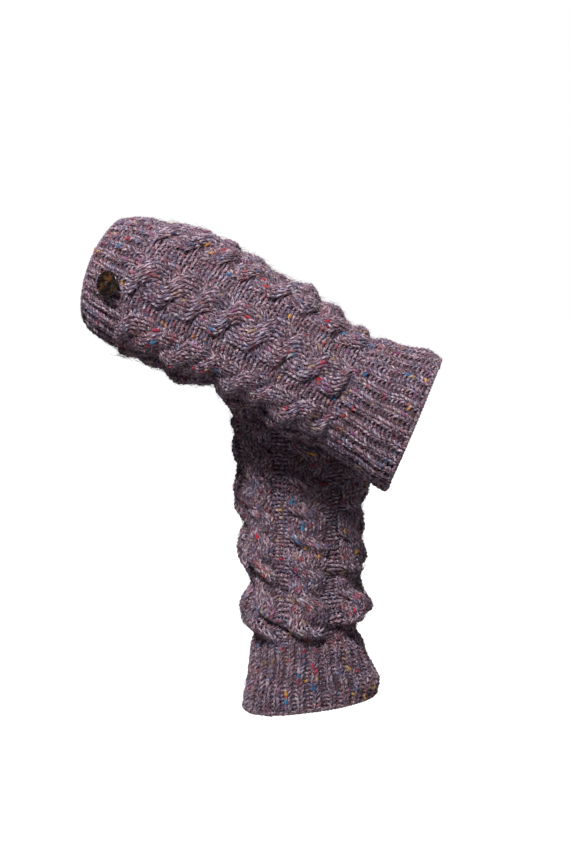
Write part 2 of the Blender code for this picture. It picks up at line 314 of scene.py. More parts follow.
SHELL_STOPS = (
    (0.40, (0.002, 0.001, 0.001)),
    (0.55, (0.007, 0.003, 0.002)),
    (0.61, (0.062, 0.021, 0.006)),
    (0.78, (0.115, 0.044, 0.014)),
)
# Pale specks painted on the shell as glints: their colour, noise scale and threshold
SHELL_PAINTED_GLINT = (0.45, 0.38, 0.30)
SHELL_SCALE = 100.0
GLINT_SCALE = 1500.0
GLINT_LIMIT = 0.66

# The studio
FLOOR_LEVEL = -0.52
FLOOR_COLOUR = (0.24, 0.24, 0.24)
FLOOR_GLOW = 1.0
SURROUND_WHITE = 1.0
SURROUND_STRENGTH = 0.07
STUDIO_LIGHTS = (
    ("key", (-0.55, -1.7, 1.6), (0.0, 0.0, -0.05), (0.5, 0.5), 84.0, (1.0, 0.99, 0.985)),
    ("fill", (1.9, -1.2, 0.9), (0.0, 0.0, -0.1), (1.5, 1.5), 3.0, (0.96, 0.98, 1.0)),
    ("back", (0.6, 2.2, 1.8), (0.0, 0.0, 0.0), (1.6, 1.2), 85.0, (1.0, 1.0, 1.0)),
)
FRAME_WIDTH = 570.0
CAMERA_PIXELS = 2500.0
SENSOR_WIDTH = 36.0
CAMERA_PLACE = (-0.0174, -2.7071, 0.2961)
CAMERA_TILT = 7.0


def smooth(low, high, value):
    """Ease from 0 at low to 1 at high, for numbers or arrays."""
    share = np.clip((value - low) / (high - low), 0.0, 1.0)
    return share * share * (3.0 - 2.0 * share)


class Tube:
    """One leg warmer's cloth: where a stitch on it lies in the world."""

    def __init__(self, name, top, down, shin, sections, creases, groove, cable_turn, button_turn, seed):
        self.name = name
        self.top = np.array(top)
        self.down = np.array(down)
        self.shin = np.array(shin)
        flank = down.cross(shin).normalized()
        if flank.y > 0.0:
            flank.negate()
        self.flank = np.array(flank)
        self.rows = np.array(sections)
        self.creases = creases
        self.first_groove = TOP_CUFF + groove
        self.cable_turn = math.radians(cable_turn)
        self.button_turn = math.radians(button_turn)
        self.random = np.random.default_rng(seed)
        self.rises = 1.0 + RISE_UNEVEN * self.random.uniform(-1.0, 1.0, (CABLES, 12))
        self.swells = self.random.uniform(0.0, 2.0 * math.pi, (3, 4))

    def section(self, distance):
        """The section columns at each distance, by a Catmull-Rom curve through the rows."""
        last = len(self.rows) - 1
        index = np.clip(np.searchsorted(self.rows[:, 0], distance, side="right") - 1, 0, last - 1)
        low, high = self.rows[index], self.rows[index + 1]
        before, after = self.rows[np.maximum(index - 1, 0)], self.rows[np.minimum(index + 2, last)]
        share = ((distance - low[:, 0]) / (high[:, 0] - low[:, 0]))[:, None]
        bend = (2.0 * before - 5.0 * low + 4.0 * high - after) * share ** 2
        twist = (3.0 * low - before - 3.0 * high + after) * share ** 3
        return 0.5 * (2.0 * low + (high - before) * share + bend + twist)

    def points(self, distance, turn, height):
        """Places in the world, in metres, for arrays of distance, turn and height."""
        distance, turn, height = np.broadcast_arrays(distance, turn, height)
        size = self.section(distance)
        sine, cosine = np.sin(turn), np.cos(turn)
        depth = np.where(sine > 0.0, size[:, 1], size[:, 2])
        side = size[:, 3]
        length = np.hypot(sine / depth, cosine / side)
        fore = depth * sine + height * sine / depth / length
        flank = side * cosine + height * cosine / side / length
        along = distance + size[:, 4] * cosine ** 2 + size[:, 5] * sine
        place = along[:, None] * self.down + fore[:, None] * self.shin + flank[:, None] * self.flank
        return self.top + place * MM

    def point(self, distance, turn, height):
        """One place in the world."""
        arrays = (np.array([float(value)]) for value in (distance, turn, height))
        return Vector(self.points(*arrays)[0])

    def frame(self, distance, turn, height):
        """A matrix on the cloth: its Z leaves the cloth and its Y runs up to the rim."""
        step = 2.0
        turn_step = math.radians(2.0)
        up = self.point(distance - step, turn, height) - self.point(distance + step, turn, height)
        across = self.point(distance, turn + turn_step, height)
        across = across - self.point(distance, turn - turn_step, height)
        outward = across.cross(up).normalized()
        place = self.point(distance, turn, height)
        if outward.dot(place - self.point(distance, turn, height - step)) < 0.0:
            outward.negate()
        right = up.cross(outward).normalized()
        axes = Matrix((right, outward.cross(right), outward)).transposed()
        return Matrix.Translation(place) @ axes.to_4x4()


STANDING = Tube(
    "standing", STANDING_TOP, STANDING_DOWN, STANDING_SHIN, STANDING_SECTIONS, STANDING_CREASES,
    FIRST_GROOVE_STANDING, -5.4, 173.0, 11,
)
LIFTED = Tube(
    "lifted", LIFTED_TOP, LIFTED_DOWN, LIFTED_SHIN, LIFTED_SECTIONS, LIFTED_CREASES,
    FIRST_GROOVE_LIFTED, -11.8, 7.0, 23,
)


def creases_at(tube, distance, turn):
    """Depth of the folds of the cloth at arrays of places: a trough, with a roll above it."""
    depth = np.zeros(np.broadcast(distance, turn).shape)
    for row in tube.creases:
        start = np.array((row[0], math.radians(row[1]) * CREASE_GIRTH))
        end = np.array((row[2], math.radians(row[3]) * CREASE_GIRTH))
        run = end - start
        nearest_turn = (turn - math.radians(row[1]) + math.pi) % (2.0 * math.pi) - math.pi
        along = distance - start[0]
        around = nearest_turn * CREASE_GIRTH
        share = np.clip((along * run[0] + around * run[1]) / run.dot(run), 0.0, 1.0)
        away = np.hypot(along - share * run[0], around - share * run[1])
        fade = CREASE_END + (1.0 - CREASE_END) * np.sin(math.pi * np.clip(share, *CREASE_ENDS_AT))
        roll = np.hypot(along - share * run[0] + ROLL_ABOVE * row[4], around - share * run[1])
        ridge = ROLL_SHARE * np.exp(-(roll / (ROLL_WIDTH * row[4])) ** 2)
        depth += row[5] * fade * (np.exp(-(away / row[4]) ** 2) - ridge)
    return depth


def wander(tube, distance, turn):
    """How far the hand of the knitter strays: along, around and outwards, in millimetres."""
    strays = []
    for reach, phases in zip(WANDER_REACH, tube.swells):
        waves = (
            weight * np.sin(distance / length + turns * turn + phase)
            for (length, turns, weight), phase in zip(WANDER_WAVES, phases)
        )
        strays.append(0.5 * reach * sum(waves))
    return strays


def rib_layout(tube, wale, across):
    """Turn, and height of the outer face, of each point of a 1 x 1 rib."""
    step = 2.0 * math.pi / RIB_WALES
    knit = wale % 2
    width = np.where(knit == 1, KNIT_SHARE, 1.0 - KNIT_SHARE) * 2.0 * step
    turn = tube.cable_turn + wale * step + across * width
    raised = 0.5 - 0.5 * np.cos(math.pi * (knit + across))
    return turn, (RIB_RELIEF + RIB_SINK) * raised - RIB_SINK


def cable_swing(share):
    """How far each strand's middle is from the cable's middle, as a share of its full swing."""
    hurried = share - STRAND_HASTE * np.sin(2.0 * math.pi * share) / (2.0 * math.pi)
    return np.cos(math.pi * hurried)


def leg_layout(tube, wale, across, phase, row_phase):
    """Turn, and height of the outer face, of each point of the cables and ladders.

    A cable is two strands of three wales. One moves in front from the shin side of the cable to
    its calf side while the other moves back behind it, and then they change parts.
    """
    stitch = wale % REPEAT
    cable = wale // REPEAT
    middle = tube.cable_turn + cable * REPEAT_SPAN
    crossing = np.floor(row_phase)
    in_front = (stitch >= STRAND_STITCHES) == (row_phase - crossing < 0.5)
    sign = np.where(in_front, 1.0, -1.0)
    share = phase - crossing
    lift = np.sin(math.pi * share)
    spread = 1.0 + LOOP_SPREAD * np.abs(lift)
    stitch_width = 2.0 * CABLE_HALF_WIDTH / CABLE_STITCHES
    offset = ((stitch % STRAND_STITCHES) - 0.5 * (STRAND_STITCHES - 1) + across) * stitch_width
    swing = STRAND_SWING * cable_swing(share)
    place = sign * swing + offset * spread
    rise = np.where(in_front, STRAND_RISE * tube.rises[cable, int(crossing) + 2], -STRAND_DIP)
    crown = STRAND_HEIGHT + rise * lift
    rounding = np.sqrt(np.clip(1.0 - (offset / LOOP_ROUNDING) ** 2, 0.0, 1.0))
    per_mm = 0.5 * CABLE_SPAN / CABLE_HALF_WIDTH
    reach = np.abs(swing) + 0.5 * STRAND_STITCHES * stitch_width * spread
    edge = 0.5 * (CABLE_HALF_WIDTH + reach) * per_mm
    rung = (stitch - CABLE_STITCHES + 0.5 + across) / PURL_STITCHES
    ladder_turn = middle + edge + rung * (REPEAT_SPAN - 2.0 * edge)
    ladder = stitch >= CABLE_STITCHES
    turn = np.where(ladder, ladder_turn, middle + place * per_mm)
    return turn, np.where(ladder, 0.0, crown * rounding)


def leg_share_at(distance):
    """0 in the cuffs and 1 in the leg, where the ribs gather into the cables."""
    along = distance - TOP_CUFF
    return smooth(0.0, BLEND, along) * smooth(0.0, BLEND, LEG - along)


def course(tube, row_distance, pitch, wales):
    """The points of one round of looped yarn, as distance, turn and height."""
    wale = np.repeat(np.arange(wales), LOOP_POINTS)
    angle = np.tile(np.arange(LOOP_POINTS) * 2.0 * math.pi / LOOP_POINTS - math.pi, wales)
    ribbed = wales == RIB_WALES
    knit = wale % 2 == 1 if ribbed else wale % REPEAT < CABLE_STITCHES
    across = angle / (2.0 * math.pi) + np.where(knit, KNIT_WAIST, PURL_WAIST) * np.sin(2.0 * angle)
    uneven = np.repeat(tube.random.normal(0.0, 1.0, (4, wales)), LOOP_POINTS, axis=1)
    reach = np.where(knit, KNIT_REACH, PURL_REACH) * pitch * (1.0 + LOOP_UNEVEN * uneven[0])
    distance = row_distance + STITCH_STRAY * uneven[1] - reach * np.cos(angle)
    if ribbed:
        turn, outer = rib_layout(tube, wale, across)
    else:
        phase = (distance - tube.first_groove) / CROSSING_LENGTH
        row_phase = (row_distance - tube.first_groove) / CROSSING_LENGTH
        turn, outer = leg_layout(tube, wale, across, phase, row_phase)
        step = 2.0 * math.pi / LEG_WALES
        even_turn = tube.cable_turn + (wale - 0.5 * (CABLE_STITCHES - 1) + across) * step
        share = leg_share_at(distance)
        turn = even_turn + (turn - even_turn) * share
        outer = 0.5 * RIB_RELIEF + (outer - 0.5 * RIB_RELIEF) * share
    face = np.where(knit, 1.0, -1.0)
    height = outer - LOOP_DEPTH - YARN_RADIUS - face * LOOP_DEPTH * np.cos(2.0 * angle)
    along, around, outwards = wander(tube, distance, turn)
    height = height + STITCH_STRAY * uneven[2] + outwards - creases_at(tube, distance, turn)
    turn = turn + (TURN_STRAY * uneven[3] + around) / CREASE_GIRTH
    distance = distance + along
    return distance, turn, np.minimum(height, under_button(tube, distance, turn))


def from_button(tube, distance, turn):
    """How far places on the cloth lie from the middle of the button: along the tube, and in all."""
    along = distance - BUTTON_BELOW_RIM
    turned = (turn - tube.button_turn + math.pi) % (2.0 * math.pi) - math.pi
    return along, np.hypot(along, turned * CREASE_GIRTH)


def under_button(tube, distance, turn):
    """The greatest height of the yarn, which gives way under the tilted button that lies on it."""
    along, away = from_button(tube, distance, turn)
    underside = RIB_RELIEF + BUTTON_CLEAR + along * math.tan(math.radians(BUTTON_TILT))
    free = np.maximum(away - BUTTON_RADIUS - BUTTON_PRESS_EDGE, 0.0)
    return underside - YARN_RADIUS - BUTTON_PRESS_GAP + BUTTON_PRESS_SLOPE * free


def edge_round(tube, edge_distance, outward, strand):
    """The points of one of the two strands that bind a rim, as distance, turn and height."""
    count = RIB_WALES * LOOP_POINTS
    turn = np.arange(count) * 2.0 * math.pi / count
    angle = turn * RIB_WALES + strand * math.pi
    distance = edge_distance + outward * (EDGE_OUT + EDGE_SWAY * np.cos(angle))
    middle = EDGE_SHARE * RIB_RELIEF - YARN_RADIUS - EDGE_OUT
    return distance, turn, middle + EDGE_SWAY * np.sin(angle)


def envelope(tube, distance, turn):
    """Height of the outermost yarn at arrays of places, as the ribs and cables raise it."""
    around = (turn - tube.cable_turn + 0.5 * REPEAT_SPAN) % REPEAT_SPAN - 0.5 * REPEAT_SPAN
    across = around / (0.5 * CABLE_SPAN) * CABLE_HALF_WIDTH
    phase = (distance - tube.first_groove) / CROSSING_LENGTH
    share = phase - np.floor(phase)
    lift = np.sin(math.pi * share)
    half_width = STRAND_HALF_WIDTH * (1.0 + STRAND_SPREAD * lift)
    cable = np.zeros(np.broadcast(distance, turn).shape)
    for sign in (1.0, -1.0):
        away = (across - sign * STRAND_SWING * cable_swing(share)) / half_width
        crown = STRAND_HEIGHT + sign * STRAND_RISE * lift
        cable = np.maximum(cable, crown * np.sqrt(np.clip(1.0 - away ** 2, 0.0, 1.0)))
    blend = leg_share_at(distance)
    raised = 0.5 * RIB_RELIEF * (1.0 - blend) + cable * blend
    return raised - creases_at(tube, distance, turn)


def curve_mesh(name, rounds, cyclic, profile=None, ribbon=0.0, radii=None):
    """Curves through rows of points, turned into one mesh that sits at the origin."""
    curve = bpy.data.curves.new(name, "CURVE")
    curve.dimensions = "3D"
    curve.use_fill_caps = False
    if profile is not None:
        curve.bevel_mode = "OBJECT"
        curve.bevel_object = profile
    curve.extrude = ribbon
    for index, points in enumerate(rounds):
        spline = curve.splines.new("POLY")
        spline.points.add(len(points) - 1)
        spline.use_cyclic_u = cyclic
        spline.points.foreach_set("co", np.hstack((points, np.ones((len(points), 1)))).ravel())
        if radii is not None:
            spline.points.foreach_set("radius", radii[index])
    source = bpy.data.objects.new(name + "_path", curve)
    bpy.context.scene.collection.objects.link(source)
    depsgraph = bpy.context.evaluated_depsgraph_get()
    mesh = bpy.data.meshes.new_from_object(source.evaluated_get(depsgraph))
    mesh.name = name
    bpy.data.objects.remove(source)
    bpy.data.curves.remove(curve)
    piece = bpy.data.objects.new(name, mesh)
    bpy.context.scene.collection.objects.link(piece)
    return piece


def flecks_of(tube, count):
    """Colour and strength of the neps on each point of a round, and how much they swell it."""
    colour = np.zeros((count, 4))
    swell = np.ones(count)
    kinds = (
        (SOFT_FLECKS, SOFT_SHARE, SOFT_STRENGTH),
        (VIVID_FLECKS, VIVID_SHARE, VIVID_STRENGTH),
    )
    for kind, share, strength in kinds:
        chosen = np.flatnonzero(tube.random.random(count) < share)
        picks = tube.random.integers(0, len(kind), len(chosen))
        sizes = tube.random.random(len(chosen)) < BIG_NEP_SHARE
        for start, pick, big in zip(chosen, picks, sizes):
            for step, weight in enumerate(BIG_NEP if big else SMALL_NEP):
                index = (start + step) % count
                colour[index] = (*kind[pick], strength * weight)
                swell[index] = 1.0 + FLECK_SWELL * weight * strength
    return colour, swell


def add_yarn_maps(mesh, rounds, points):
    """A map that runs along and round the yarn, and one that lays the rounds out side by side."""
    corners = points * YARN_SIDES * 4
    old = mesh.uv_layers[0]
    place = np.zeros(len(mesh.loops) * 2, np.float32)
    old.data.foreach_get("uv", place)
    place = place.reshape(-1, 2)
    index = np.arange(len(place)) // corners
    along = mesh.uv_layers.new(name="YarnUV")
    strip = mesh.uv_layers.new(name="OFBake")
    run = np.column_stack((place[:, 0] * points / LOOP_POINTS + index * ROUND_SHIFT, place[:, 1]))
    within = BAKE_MARGIN + (1.0 - 2.0 * BAKE_MARGIN) * place[:, 1]
    laid = np.column_stack((place[:, 0], (index + within) / rounds))
    along.data.foreach_set("uv", run.ravel().astype(np.float32))
    strip.data.foreach_set("uv", laid.ravel().astype(np.float32))
    mesh.uv_layers.remove(mesh.uv_layers[0])


def yarn_piece(tube, name, rounds, profile, material):
    """A piece of knitting: rounds of yarn, given as distance, turn and height."""
    points = []
    colours = []
    radii = []
    for distance, turn, height in rounds:
        points.append(tube.points(distance, turn, height))
        colour, swell = flecks_of(tube, len(points[-1]))
        colours.append(np.repeat(colour, YARN_SIDES, axis=0))
        radii.append(swell * tube.random.normal(1.0, YARN_UNEVEN, len(swell)))
    piece = curve_mesh(f"{tube.name}_{name}", points, True, profile=profile, radii=radii)
    mesh = piece.data
    layer = mesh.attributes.new("fleck", "FLOAT_COLOR", "POINT")
    layer.data.foreach_set("color", np.concatenate(colours).ravel().astype(np.float32))
    add_yarn_maps(mesh, len(points), len(points[0]))
    return finished(piece, material)


def finished(piece, material):
    """Shade a piece smooth, give it its material, and let it ride on the one body."""
    piece.data.materials.clear()
    piece.data.materials.append(material)
    piece.data.shade_smooth()
    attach(piece, "root")
    return piece


def knitting(tube, profile, materials):
    """The yarn of one leg warmer, course by course."""
    stretches = []
    for start, length, courses, wales in (
        (0.0, TOP_CUFF, COURSES_TOP, RIB_WALES),
        (TOP_CUFF, LEG, COURSES_LEG, LEG_WALES),
        (TOP_CUFF + LEG, BOTTOM_CUFF, COURSES_BOTTOM, RIB_WALES),
    ):
        pitch = length / courses
        rows = [course(tube, start + (row + 0.5) * pitch, pitch, wales) for row in range(courses)]
        stretches.append(rows)
    top, leg, bottom = stretches
    edges = [edge_round(tube, 0.0, -1.0, strand) for strand in range(2)]
    edges += [edge_round(tube, LENGTH, 1.0, strand) for strand in range(2)]
    half = COURSES_LEG // 2
    pieces = (
        ("top_rib_yarn", top, "cuff_yarn"),
        ("upper_cable_yarn", leg[:half], "leg_yarn"),
        ("lower_cable_yarn", leg[half:], "leg_yarn"),
        ("bottom_rib_yarn", bottom, "cuff_yarn"),
        ("bound_edges", edges, "cuff_yarn"),
    )
    return [
        yarn_piece(tube, name, rounds, profile, materials["yarn"])
        for name, rounds, slot in pieces
    ]


def ground_cloth(tube, material):
    """The thin wall that lies between the two faces of the knitting, coloured as painted shade in the gaps
    between the loops.
    """
    build = bmesh.new()
    bmesh.ops.create_grid(build, x_segments=GROUND_COLUMNS, y_segments=GROUND_RINGS, size=1.0)
    place = np.array([vertex.co[:] for vertex in build.verts])
    turn = (place[:, 0] + 1.0) * math.pi
    distance = GROUND_INSET + (place[:, 1] + 1.0) * 0.5 * (LENGTH - 2.0 * GROUND_INSET)
    height = envelope(tube, distance, turn) - LOOP_DEPTH - YARN_RADIUS - GROUND_DEPTH
    for vertex, point in zip(build.verts, tube.points(distance, turn, height)):
        vertex.co = point
    bmesh.ops.remove_doubles(build, verts=build.verts, dist=0.01 * MM)
    build.normal_update()
    build.faces.ensure_lookup_table()
    face = build.faces[0]
    centre = face.calc_center_median()
    top, down = Vector(tube.top), Vector(tube.down)
    axis = top + down * (centre - top).dot(down)
    if face.normal.dot(centre - axis) < 0.0:
        bmesh.ops.reverse_faces(build, faces=build.faces)
    bmesh.ops.solidify(build, geom=build.faces, thickness=GROUND_THICKNESS * MM)
    mesh = bpy.data.meshes.new(f"{tube.name}_ground_cloth")
    build.to_mesh(mesh)
    build.free()
    piece = bpy.data.objects.new(mesh.name, mesh)
    bpy.context.scene.collection.objects.link(piece)
    return finished(piece, material)


def hairs(tube, count, points, lengths, reach):
    """Loose fibres that lie over the yarn or stand off it, as rows of points."""
    distance = tube.random.uniform(-HAIR_START_OVERRUN, LENGTH + HAIR_START_OVERRUN, count)
    turn = tube.random.uniform(0.0, 2.0 * math.pi, count)
    root = envelope(tube, distance, turn) - HAIR_ROOT
    heading = tube.random.uniform(0.0, 2.0 * math.pi, count)
    length = tube.random.uniform(*lengths, count)
    lift = np.abs(tube.random.normal(0.0, reach, count)) + HAIR_LEAST_LIFT
    curl = tube.random.normal(0.0, HAIR_CURL, count)
    rows = []
    clear = np.ones(count, bool)
    for share in np.linspace(0.0, 1.0, points):
        way = heading + curl * share
        run = length * share
        along = np.clip(distance + run * np.sin(way), -HAIR_OVERRUN, LENGTH + HAIR_OVERRUN)
        around = turn + run * np.cos(way) / CREASE_GIRTH
        clear &= from_button(tube, along, around)[1] > BUTTON_RADIUS + BUTTON_PRESS_EDGE
        arch = share ** HAIR_ARCH * (1.0 + HAIR_DROOP - HAIR_DROOP * share)
        rows.append(tube.points(along, around, root + lift * arch))
    return list(np.stack(rows, axis=1)[clear])


def halo(tube, material):
    """The fuzz of the wool, each hair a narrow ribbon of two or three points."""
    rounds = hairs(tube, *LONG_HAIRS) + hairs(tube, *SHORT_HAIRS)
    piece = curve_mesh(f"{tube.name}_halo", rounds, False, ribbon=0.5 * HAIR_WIDTH * MM)
    return finished(piece, material)


class Nodes:
    """Short hands for building a node tree."""

    def __init__(self, tree):
        self.tree = tree
        tree.nodes.clear()

    def add(self, kind, **settings):
        node = self.tree.nodes.new(kind)
        for key, value in settings.items():
            setattr(node, key, value)
        return node

    def join(self, source, target):
        self.tree.links.new(source, target)

    def math(self, operation, first, second=None):
        node = self.add("ShaderNodeMath", operation=operation)
        for socket, value in zip(node.inputs, (first, second)):
            if isinstance(value, bpy.types.NodeSocket):
                self.join(value, socket)
            elif value is not None:
                socket.default_value = value
        return node.outputs[0]

    def combine(self, *values):
        node = self.add("ShaderNodeCombineXYZ")
        for socket, value in zip(node.inputs, values):
            if isinstance(value, bpy.types.NodeSocket):
                self.join(value, socket)
            else:
                socket.default_value = value
        return node.outputs[0]

    def noise(self, vector, scale, detail=2.0, roughness=0.5):
        node = self.add("ShaderNodeTexNoise")
        node.inputs["Scale"].default_value = scale
        node.inputs["Detail"].default_value = detail
        node.inputs["Roughness"].default_value = roughness
        self.join(vector, node.inputs["Vector"])
        return node

    def ramp(self, factor, stops):
        node = self.add("ShaderNodeValToRGB")
        elements = node.color_ramp.elements
        while len(elements) < len(stops):
            elements.new(0.5)
        for element, (position, colour) in zip(elements, stops):
            element.position = position
            element.color = (*colour, 1.0)
        self.join(factor, node.inputs["Fac"])
        return node.outputs["Color"]

    def mix(self, factor, first, second, blend="MIX"):
        node = self.add("ShaderNodeMix", data_type="RGBA", blend_type=blend)
        for name, value in (("Factor", factor), ("A", first), ("B", second)):
            socket = next(s for s in node.inputs if s.name == name and s.enabled)
            if isinstance(value, bpy.types.NodeSocket):
                self.join(value, socket)
            elif name == "Factor":
                socket.default_value = value
            else:
                socket.default_value = (*value, 1.0)
        return next(s for s in node.outputs if s.enabled)


def new_group(name, inputs, outputs):
    """A node group with named number or colour inputs and outputs."""
    group = bpy.data.node_groups.new(name, "ShaderNodeTree")
    nodes = Nodes(group)
    for label, value in inputs:
        kind = "NodeSocketColor" if isinstance(value, tuple) else "NodeSocketFloat"
        socket = group.interface.new_socket(label, in_out="INPUT", socket_type=kind)
        socket.default_value = (*value, 1.0) if isinstance(value, tuple) else value
    for label, kind in outputs:
        group.interface.new_socket(label, in_out="OUTPUT", socket_type=kind)
    return group, nodes, nodes.add("NodeGroupInput"), nodes.add("NodeGroupOutput")


def heather_group():
    """Blended wool colour: a mauve ground with darker, paler, bluish and wine patches, which its shade
    input can dim as painted shade.
    """
    group, nodes, taken, given = new_group(
        "wool_heather",
        (("Streak", 0.5), ("Shade", 1.0)),
        (("Color", "NodeSocketColor"),),
    )
    place = nodes.add("ShaderNodeTexCoord").outputs["Object"]
    base = nodes.ramp(taken.outputs["Streak"], WOOL_STOPS)
    blotch = nodes.noise(place, HEATHER_SCALE, 3.0, 0.6)
    tinted = nodes.mix(BLOTCH_SHARE, base, nodes.ramp(blotch.outputs["Fac"], BLOTCH_STOPS), "MULTIPLY")
    hue = nodes.noise(place, FIBRE_SCALE, 2.0, 0.6)
    colour = nodes.ramp(hue.outputs["Fac"], HUE_STOPS)
    mixed = nodes.mix(HUE_SHARE, tinted, colour, "OVERLAY")
    # The shade input lowers the colour's value, as painted shade
    dim = nodes.add("ShaderNodeHueSaturation")
    nodes.join(mixed, dim.inputs["Color"])
    nodes.join(taken.outputs["Shade"], dim.inputs["Value"])
    nodes.join(dim.outputs["Color"], given.inputs["Color"])
    return group


def wool_surface(nodes, colour, roughness=0.92):
    """A wool shader with the soft bloom of its fibres."""
    shader = nodes.add("ShaderNodeBsdfPrincipled")
    shader.inputs["Roughness"].default_value = roughness
    shader.inputs["Specular IOR Level"].default_value = 0.18
    shader.inputs["Sheen Weight"].default_value = WOOL_SHEEN
    shader.inputs["Sheen Roughness"].default_value = 0.55
    shader.inputs["Sheen Tint"].default_value = (*WOOL_BLOOM, 1.0)
    nodes.join(colour, shader.inputs["Base Color"])
    output = nodes.add("ShaderNodeOutputMaterial")
    nodes.join(shader.outputs["BSDF"], output.inputs["Surface"])
    return shader


def use_group(nodes, group, **values):
    """Place a node group, with its inputs linked or set."""
    node = nodes.add("ShaderNodeGroup", node_tree=group)
    for name, value in values.items():
        if isinstance(value, bpy.types.NodeSocket):
            nodes.join(value, node.inputs[name])
        else:
            node.inputs[name].default_value = value
    return node


def new_material(name, colour):
    """An empty node material with its plain colour set for the viewport."""
    material = bpy.data.materials.new(name)
    material.use_nodes = True
    material.diffuse_color = (*colour, 1.0)
    return material, Nodes(material.node_tree)


def yarn_material(heather):
    """Loosely plied tweed yarn: fibres that wind along it, and coloured neps spun in."""
    material, nodes = new_material("tweed_yarn", WOOL_STOPS[2][1])
    place = nodes.add("ShaderNodeUVMap", uv_map="YarnUV")
    split = nodes.add("ShaderNodeSeparateXYZ")
    nodes.join(place.outputs["UV"], split.inputs["Vector"])
    along, around = split.outputs["X"], split.outputs["Y"]
    angle = nodes.math("MULTIPLY", around, 2.0 * math.pi)
    angle = nodes.math("ADD", angle, nodes.math("MULTIPLY", along, PLY_TWIST))
    cosine = nodes.math("COSINE", angle)
    sine = nodes.math("SINE", angle)
    marl_place = nodes.combine(nodes.math("MULTIPLY", along, MARL_RUN), cosine, sine)
    marl = nodes.noise(marl_place, MARL_SCALE, 5.0, 0.68).outputs["Fac"]
    fibre_place = nodes.combine(
        nodes.math("MULTIPLY", along, FIBRE_RUN),
        nodes.math("MULTIPLY", cosine, FIBRE_ROUND),
        nodes.math("MULTIPLY", sine, FIBRE_ROUND),
    )
    fibre = nodes.noise(fibre_place, FIBRE_GRAIN, 2.0, 0.6).outputs["Fac"]
    tone_place = nodes.combine(nodes.math("MULTIPLY", along, TONE_RUN), 0.0, 0.0)
    tone = nodes.noise(tone_place, 1.0, 1.0).outputs["Fac"]
    streak = nodes.math("MULTIPLY", nodes.math("SUBTRACT", marl, 0.5), MARL_CONTRAST)
    streak = nodes.math("ADD", streak, nodes.math("MULTIPLY", cosine, PLY_CONTRAST))
    streak = nodes.math("ADD", streak, nodes.math("MULTIPLY", fibre, FIBRE_CONTRAST))
    streak = nodes.math("ADD", streak, nodes.math("MULTIPLY", tone, LOOP_TONE))
    streak = nodes.math("ADD", streak, 0.5 - 0.5 * (FIBRE_CONTRAST + LOOP_TONE))
    wool = use_group(nodes, heather, Streak=streak, Shade=1.0)
    fleck = nodes.add("ShaderNodeAttribute", attribute_name="fleck")
    ragged = nodes.math("MULTIPLY", fibre, NEP_FIBRE)
    ragged = nodes.math("ADD", ragged, nodes.math("MULTIPLY", marl, NEP_MARL))
    broken = nodes.math("MULTIPLY", fleck.outputs["Alpha"], ragged)
    broken.node.use_clamp = True
    nep = nodes.mix(NEP_SHADE, fleck.outputs["Color"], nodes.ramp(fibre, NEP_STOPS), "MULTIPLY")
    colour = nodes.mix(broken, wool.outputs["Color"], nep)
    shader = wool_surface(nodes, colour)
    plies = nodes.math("ABSOLUTE", cosine)
    relief = nodes.math("MULTIPLY", plies, PLY_RELIEF)
    relief = nodes.math("ADD", relief, nodes.math("MULTIPLY", fibre, FIBRE_RELIEF))
    bump = nodes.add("ShaderNodeBump")
    bump.inputs["Strength"].default_value = 0.9
    bump.inputs["Distance"].default_value = PLY_BUMP * MM
    nodes.join(relief, bump.inputs["Height"])
    nodes.join(bump.outputs["Normal"], shader.inputs["Normal"])
    return material


def ground_material(heather):
    """Wool darkened as painted shade, seen between the loops."""
    material, nodes = new_material("ground_painted_shade", WOOL_STOPS[0][1])
    place = nodes.add("ShaderNodeTexCoord").outputs["Object"]
    fibres = nodes.noise(place, GROUND_GRAIN, 4.0, 0.7)
    # The wool colour is darkened here by the shade input, as painted shade in the gaps between loops
    wool = use_group(nodes, heather, Streak=fibres.outputs["Fac"], Shade=GROUND_PAINTED_SHADE)
    shader = wool_surface(nodes, wool.outputs["Color"], 1.0)
    bump = nodes.add("ShaderNodeBump")
    bump.inputs["Strength"].default_value = 0.6
    bump.inputs["Distance"].default_value = 0.5 * MM
    nodes.join(fibres.outputs["Fac"], bump.inputs["Height"])
    nodes.join(bump.outputs["Normal"], shader.inputs["Normal"])
    return material


def halo_material(heather):
    """The pale loose fibres of the halo."""
    material, nodes = new_material("halo_fibre", WOOL_STOPS[3][1])
    place = nodes.add("ShaderNodeTexCoord").outputs["Object"]
    patch = nodes.noise(place, HALO_GRAIN, 2.0, 0.6)
    wool = use_group(nodes, heather, Streak=patch.outputs["Fac"], Shade=1.0)
    wool_surface(nodes, wool.outputs["Color"], 0.8)
    return material


